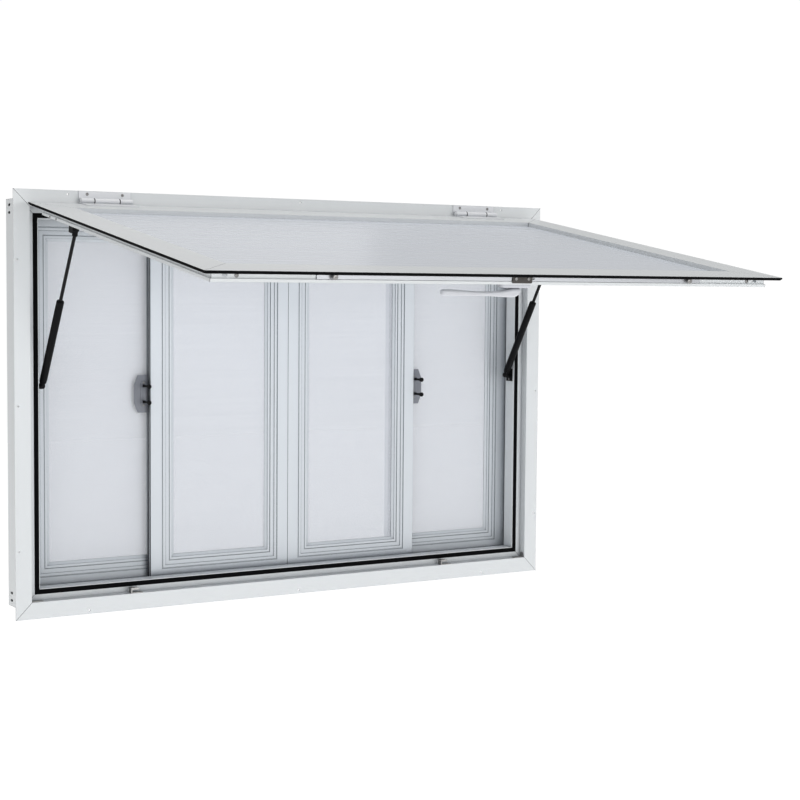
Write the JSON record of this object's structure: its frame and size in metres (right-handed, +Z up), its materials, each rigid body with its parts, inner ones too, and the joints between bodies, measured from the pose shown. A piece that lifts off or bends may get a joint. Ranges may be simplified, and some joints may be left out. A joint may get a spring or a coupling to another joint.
{
  "type": "serving window",
  "caption": "Wall-mounted serving window with a top-hung awning sash on gas struts, a lever-driven two-point lock and sliding insect screens.",
  "frame": {"origin": "centre of the wall flange's back face, which is the centre of its rectangle of side wall screws", "axes": "+X to the right seen from outside, +Y into the wall, +Z up"},
  "size_m": [1.524, 1.0676, 1.016],
  "materials": {
    "frame_coating": "satin white powder coat",
    "awning_coating": "satin white powder coat",
    "panel_sheet": "smooth pale grey composite sheet",
    "sash_coating": "satin pale grey powder coat",
    "screen_mesh": "fine woven insect screen",
    "seal_rubber": "matte black rubber",
    "track_metal": "mill finish",
    "key_metal": "cast",
    "zinc_steel": "zinc plated",
    "hinge_metal": "white coated hinge",
    "black_nylon": "moulded black nylon",
    "white_nylon": "moulded white nylon",
    "strut_black": "black painted steel",
    "strut_rod_metal": "black nitrided rod",
    "handle_white": "white coated die casting",
    "latch_grey": "moulded grey"
  },
  "bodies": {
    "frame": {"frame_head": "frame_coating", "frame_sill": "frame_coating", "frame_jamb_left": "frame_coating", "frame_jamb_right": "frame_coating", "frame_corner_keys": "key_metal", "frame_gasket": "seal_rubber", "corner_brackets": "zinc_steel", "sill_track": "track_metal", "head_track": "track_metal", "lock_keeps": "zinc_steel", "frame_screws": "zinc_steel", "hinge_leaves_fixed": "hinge_metal", "hinge_pins": "zinc_steel", "hinge_washers": "black_nylon", "strut_brackets_lower": "strut_black"},
    "awning": {"awning_rail_front": "awning_coating", "awning_rail_hinge": "awning_coating", "awning_rail_left": "awning_coating", "awning_rail_right": "awning_coating", "awning_panel": "panel_sheet", "awning_beads": "awning_coating", "awning_seal": "seal_rubber", "awning_corner_keys": "key_metal", "awning_screws": "zinc_steel", "hinge_leaves_moving": "hinge_metal", "strut_brackets_upper": "strut_black", "lock_faceplate": "zinc_steel", "lock_gearbox": "key_metal", "handle_base": "handle_white"},
    "lock_slide": {"lock_bar": "track_metal", "lock_cams": "zinc_steel", "lock_rack": "zinc_steel"},
    "handle": {"handle_lever": "handle_white", "drive_pinion": "zinc_steel"},
    "strut_cylinder_left": {"strut_tube_left": "strut_black", "strut_socket_lower_left": "strut_black"},
    "strut_piston_left": {"strut_rod_left": "strut_rod_metal", "strut_socket_upper_left": "strut_black"},
    "strut_cylinder_right": {"strut_tube_right": "strut_black", "strut_socket_lower_right": "strut_black"},
    "strut_piston_right": {"strut_rod_right": "strut_rod_metal", "strut_socket_upper_right": "strut_black"},
    "screen_1": {"sash_1_frame": "sash_coating", "sash_1_screen": "screen_mesh", "sash_1_glides": "white_nylon"},
    "screen_2": {"sash_2_frame": "sash_coating", "sash_2_screen": "screen_mesh", "sash_2_glides": "white_nylon", "latch_plate_left": "latch_grey"},
    "screen_3": {"sash_3_frame": "sash_coating", "sash_3_screen": "screen_mesh", "sash_3_glides": "white_nylon", "latch_plate_right": "latch_grey"},
    "screen_4": {"sash_4_frame": "sash_coating", "sash_4_screen": "screen_mesh", "sash_4_glides": "white_nylon"},
    "latch_left_upper": {"latch_lever_left_upper": "black_nylon"},
    "latch_left_lower": {"latch_lever_left_lower": "black_nylon"},
    "latch_right_upper": {"latch_lever_right_upper": "black_nylon"},
    "latch_right_lower": {"latch_lever_right_lower": "black_nylon"}
  },
  "joints": [
    {"name": "awning_swing", "type": "hinge", "parent": "frame", "child": "awning", "pos_m": [0, -0.0168, 0.484], "axis": [-1, 0, 0], "range_deg": [-80, 0]},
    {"name": "strut_tilt_left", "type": "hinge", "parent": "frame", "child": "strut_cylinder_left", "pos_m": [-0.679, 0.038, 0.044], "axis": [1, 0, 0], "range_deg": [-30, 0.5]},
    {"name": "strut_stroke_left", "type": "slide", "parent": "strut_cylinder_left", "child": "strut_piston_left", "axis": [0, -0.5226, 0.8526], "range_m": [-0.17, 0.002]},
    {"name": "strut_tilt_right", "type": "hinge", "parent": "frame", "child": "strut_cylinder_right", "pos_m": [0.679, 0.038, 0.044], "axis": [1, 0, 0], "range_deg": [-30, 0.5]},
    {"name": "strut_stroke_right", "type": "slide", "parent": "strut_cylinder_right", "child": "strut_piston_right", "axis": [0, -0.5226, 0.8526], "range_m": [-0.17, 0.002]},
    {"name": "handle_turn", "type": "hinge", "parent": "awning", "child": "handle", "pos_m": [0.015, -0.9061, 0.28404], "axis": [0, 0.1736, -0.9848], "range_deg": [0, 90]},
    {"name": "lock_travel", "type": "slide", "parent": "awning", "child": "lock_slide", "axis": [-1, 0, 0], "range_m": [-0.0002, 0.0142]},
    {"name": "screen_1_slide", "type": "slide", "parent": "frame", "child": "screen_1", "axis": [1, 0, 0], "range_m": [0, 0.318]},
    {"name": "screen_2_slide", "type": "slide", "parent": "frame", "child": "screen_2", "axis": [-1, 0, 0], "range_m": [0, 0.26]},
    {"name": "screen_3_slide", "type": "slide", "parent": "frame", "child": "screen_3", "axis": [1, 0, 0], "range_m": [0, 0.26]},
    {"name": "screen_4_slide", "type": "slide", "parent": "frame", "child": "screen_4", "axis": [-1, 0, 0], "range_m": [0, 0.318]},
    {"name": "latch_left_upper_pinch", "type": "hinge", "parent": "screen_2", "child": "latch_left_upper", "pos_m": [-0.401, 0.0725, 0.036], "axis": [1, 0, 0], "range_deg": [0, 9], "stiffness_Nm_per_rad": 0.4},
    {"name": "latch_left_lower_pinch", "type": "hinge", "parent": "screen_2", "child": "latch_left_lower", "pos_m": [-0.401, 0.0725, -0.004], "axis": [-1, 0, 0], "range_deg": [0, 9], "stiffness_Nm_per_rad": 0.4},
    {"name": "latch_right_upper_pinch", "type": "hinge", "parent": "screen_3", "child": "latch_right_upper", "pos_m": [0.401, 0.0725, 0.036], "axis": [1, 0, 0], "range_deg": [0, 9], "stiffness_Nm_per_rad": 0.4},
    {"name": "latch_right_lower_pinch", "type": "hinge", "parent": "screen_3", "child": "latch_right_lower", "pos_m": [0.401, 0.0725, -0.004], "axis": [-1, 0, 0], "range_deg": [0, 9], "stiffness_Nm_per_rad": 0.4}
  ],
  "couplings": [
    {"joint": "strut_tilt_left", "follows": "awning_swing", "ratio": 0.36137},
    {"joint": "strut_stroke_left", "follows": "awning_swing", "m_per_rad": 0.12139},
    {"joint": "strut_tilt_right", "follows": "awning_swing", "ratio": 0.36137},
    {"joint": "strut_stroke_right", "follows": "awning_swing", "m_per_rad": 0.12139},
    {"joint": "lock_travel", "follows": "handle_turn", "m_per_rad": 0.0089127}
  ]
}
